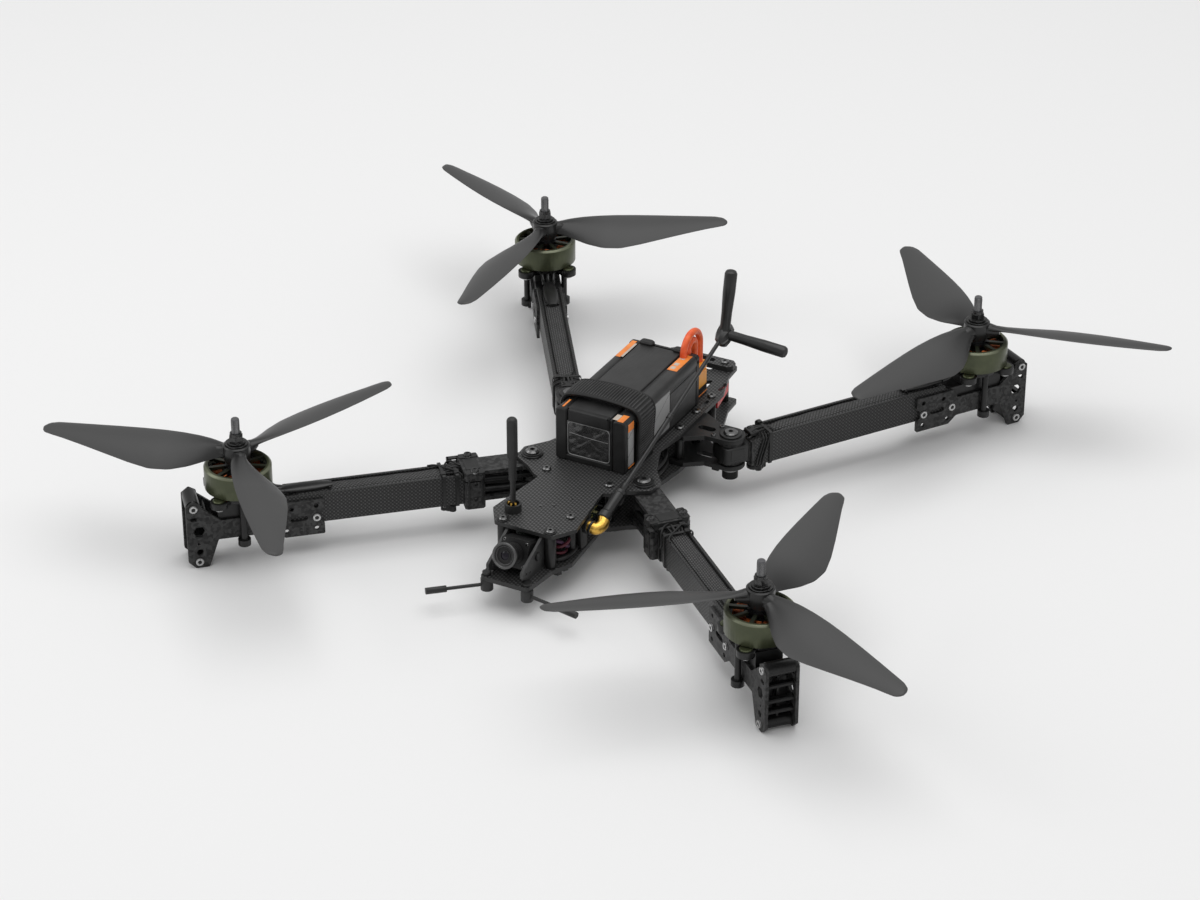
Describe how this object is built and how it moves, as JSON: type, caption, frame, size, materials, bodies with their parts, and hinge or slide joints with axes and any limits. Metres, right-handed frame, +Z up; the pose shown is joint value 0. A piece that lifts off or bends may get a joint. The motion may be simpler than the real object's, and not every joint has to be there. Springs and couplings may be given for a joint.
{
  "type": "quadcopter drone",
  "caption": "Folding carbon-fibre quadcopter with three-bladed rotors on swinging arms, a nose camera and a strapped battery.",
  "frame": {"origin": "centre of the belly bolt square, on the underside of the bottom plate", "axes": "+Z up, -Y towards the nose, +X towards the drone's left side"},
  "size_m": [0.5968, 0.5526, 0.1392],
  "materials": {
    "carbon_plate": "woven carbon plate, satin",
    "carbon_tube": "diagonal twill carbon tube, satin",
    "black_alloy": "black anodised, bead blasted",
    "braided_sleeve": "black braided sleeving",
    "dark_steel": "dark steel fasteners",
    "motor_green": "olive green anodised, satin",
    "motor_core": "black laminations with enamelled copper",
    "propeller_plastic": "glass filled nylon, matt",
    "battery_wrap": "black wrap over end frames, satin",
    "strap_webbing": "ribbed black webbing",
    "connector_plastic": "amber and black nylon",
    "lead_silicone": "red orange silicone",
    "gold": "gold plated",
    "antenna_plastic": "black moulded, matt",
    "camera_plastic": "black, satin",
    "lens_black": "black ring around dark glass",
    "circuit_board": "black board with components",
    "transmitter_red": "red anodised"
  },
  "bodies": {
    "body": {"top_plate": "carbon_plate", "bottom_plate": "carbon_plate", "standoffs": "black_alloy", "plate_screws": "dark_steel", "tail_bar": "carbon_plate", "rear_brackets": "black_alloy", "pivot_bolts": "dark_steel", "camera_cage": "carbon_plate", "flight_stack": "circuit_board", "video_transmitter": "transmitter_red", "battery_pack": "battery_wrap", "battery_strap": "strap_webbing", "battery_plug": "connector_plastic", "battery_lead": "lead_silicone", "antenna_elbow": "gold", "video_antenna": "antenna_plastic", "stub_antenna": "antenna_plastic", "receiver_antennas": "antenna_plastic"},
    "camera": {"camera_body": "camera_plastic", "camera_lens": "lens_black"},
    "arm_front_left": {"arm_tube_front_left": "carbon_tube", "arm_knuckle_front_left": "black_alloy", "motor_leads_front_left": "braided_sleeve", "arm_end_plates_front_left": "carbon_plate", "arm_fasteners_front_left": "dark_steel", "motor_mount_front_left": "black_alloy", "motor_stator_front_left": "motor_core"},
    "rotor_front_left": {"motor_bell_front_left": "motor_green", "propeller_front_left": "propeller_plastic", "prop_nut_front_left": "dark_steel"},
    "arm_front_right": {"arm_tube_front_right": "carbon_tube", "arm_knuckle_front_right": "black_alloy", "motor_leads_front_right": "braided_sleeve", "arm_end_plates_front_right": "carbon_plate", "arm_fasteners_front_right": "dark_steel", "motor_mount_front_right": "black_alloy", "motor_stator_front_right": "motor_core"},
    "rotor_front_right": {"motor_bell_front_right": "motor_green", "propeller_front_right": "propeller_plastic", "prop_nut_front_right": "dark_steel"},
    "arm_rear_left": {"arm_tube_rear_left": "carbon_tube", "arm_knuckle_rear_left": "black_alloy", "motor_leads_rear_left": "braided_sleeve", "arm_end_plates_rear_left": "carbon_plate", "arm_fasteners_rear_left": "dark_steel", "motor_mount_rear_left": "black_alloy", "motor_stator_rear_left": "motor_core"},
    "rotor_rear_left": {"motor_bell_rear_left": "motor_green", "propeller_rear_left": "propeller_plastic", "prop_nut_rear_left": "dark_steel"},
    "arm_rear_right": {"arm_tube_rear_right": "carbon_tube", "arm_knuckle_rear_right": "black_alloy", "motor_leads_rear_right": "braided_sleeve", "arm_end_plates_rear_right": "carbon_plate", "arm_fasteners_rear_right": "dark_steel", "motor_mount_rear_right": "black_alloy", "motor_stator_rear_right": "motor_core"},
    "rotor_rear_right": {"motor_bell_rear_right": "motor_green", "propeller_rear_right": "propeller_plastic", "prop_nut_rear_right": "dark_steel"}
  },
  "joints": [
    {"name": "fold_front_left", "type": "hinge", "parent": "body", "child": "arm_front_left", "pos_m": [0.0394, -0.058, 0.014], "axis": [0, 0, 1], "range_deg": [-30, 0]},
    {"name": "fold_front_right", "type": "hinge", "parent": "body", "child": "arm_front_right", "pos_m": [-0.0394, -0.058, 0.014], "axis": [0, 0, 1], "range_deg": [0, 30]},
    {"name": "fold_rear_left", "type": "hinge", "parent": "body", "child": "arm_rear_left", "pos_m": [0.058, 0.027, 0.014], "axis": [0, 0, 1], "range_deg": [0, 30]},
    {"name": "fold_rear_right", "type": "hinge", "parent": "body", "child": "arm_rear_right", "pos_m": [-0.058, 0.027, 0.014], "axis": [0, 0, 1], "range_deg": [-30, 0]},
    {"name": "spin_front_left", "type": "hinge", "parent": "arm_front_left", "child": "rotor_front_left", "pos_m": [0.17806, -0.18197, 0.045], "axis": [0, 0, 1], "continuous": true},
    {"name": "spin_front_right", "type": "hinge", "parent": "arm_front_right", "child": "rotor_front_right", "pos_m": [-0.17806, -0.18197, 0.045], "axis": [0, 0, 1], "continuous": true},
    {"name": "spin_rear_left", "type": "hinge", "parent": "arm_rear_left", "child": "rotor_rear_left", "pos_m": [0.16093, 0.18192, 0.045], "axis": [0, 0, 1], "continuous": true},
    {"name": "spin_rear_right", "type": "hinge", "parent": "arm_rear_right", "child": "rotor_rear_right", "pos_m": [-0.16093, 0.18192, 0.045], "axis": [0, 0, 1], "continuous": true},
    {"name": "camera_tilt", "type": "hinge", "parent": "body", "child": "camera", "pos_m": [0, -0.147, 0.0146], "axis": [-1, 0, 0], "range_deg": [-20, 20]}
  ]
}
